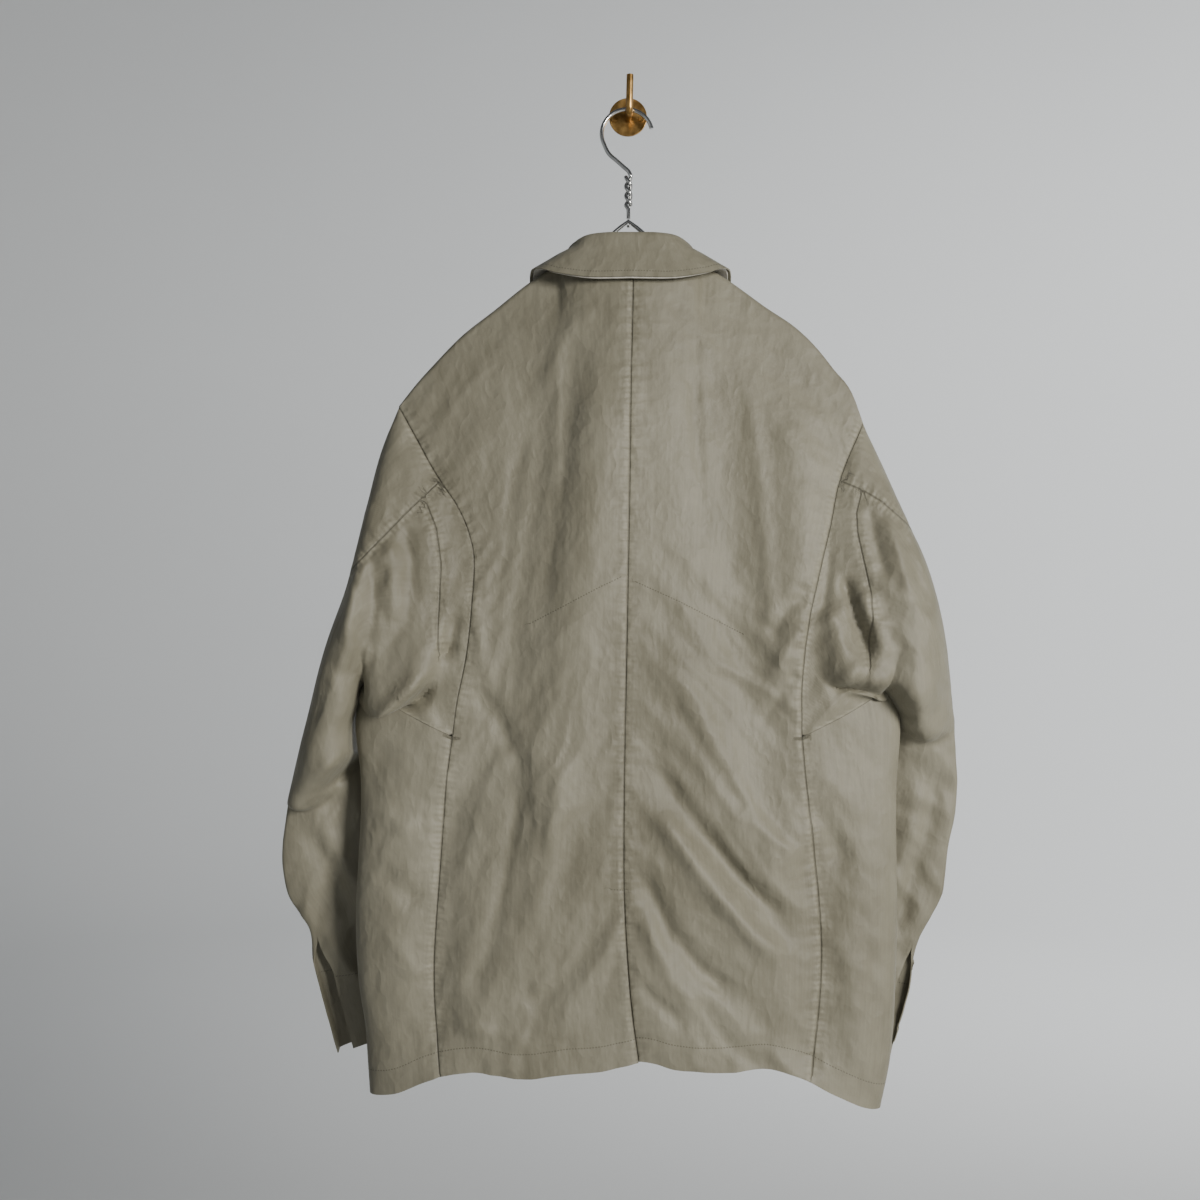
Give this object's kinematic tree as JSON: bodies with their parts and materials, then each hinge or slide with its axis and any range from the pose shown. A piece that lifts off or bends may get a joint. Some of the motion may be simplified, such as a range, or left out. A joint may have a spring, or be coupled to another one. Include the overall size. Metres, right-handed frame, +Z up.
{
  "type": "coverall jacket on a wire hanger with a wall hook",
  "caption": "Hip-length coverall jacket with a turned collar and a back vent, buttoned, hanging empty from a wire hanger on a brass wall hook.",
  "frame": {"origin": "centre of the rosette's flat back, which meets the wall", "axes": "+Z up, +Y into the wall, +X to the right for someone who faces the wall; the wall is the plane y = 0"},
  "size_m": [0.6555, 0.1106, 1.0004],
  "materials": {
    "olive_cotton": "washed olive cotton satin, faded at the seams",
    "pale_cotton": "faded cotton",
    "button_horn": "dark brown, half gloss",
    "bright_wire": "polished",
    "old_brass": "aged, half gloss"
  },
  "bodies": {
    "root": {"back_left": "olive_cotton", "back_right": "olive_cotton", "side_left": "olive_cotton", "side_right": "olive_cotton", "front_left": "olive_cotton", "front_right": "olive_cotton", "collar": "olive_cotton", "sleeve_cap_left": "olive_cotton", "sleeve_cap_right": "olive_cotton", "sleeve_outer_left": "olive_cotton", "sleeve_outer_right": "olive_cotton", "sleeve_under_left": "olive_cotton", "sleeve_under_right": "olive_cotton", "cuff_left": "olive_cotton", "cuff_right": "olive_cotton", "under_collar": "pale_cotton", "button_1": "button_horn", "button_2": "button_horn", "button_3": "button_horn", "button_4": "button_horn", "button_5": "button_horn", "hanger_hook": "bright_wire", "hanger_twist": "bright_wire", "hanger_frame": "bright_wire", "hanger_stud": "bright_wire", "wall_rosette": "old_brass", "wall_peg": "old_brass", "screw_left": "old_brass", "screw_right": "old_brass"}
  },
  "joints": []
}
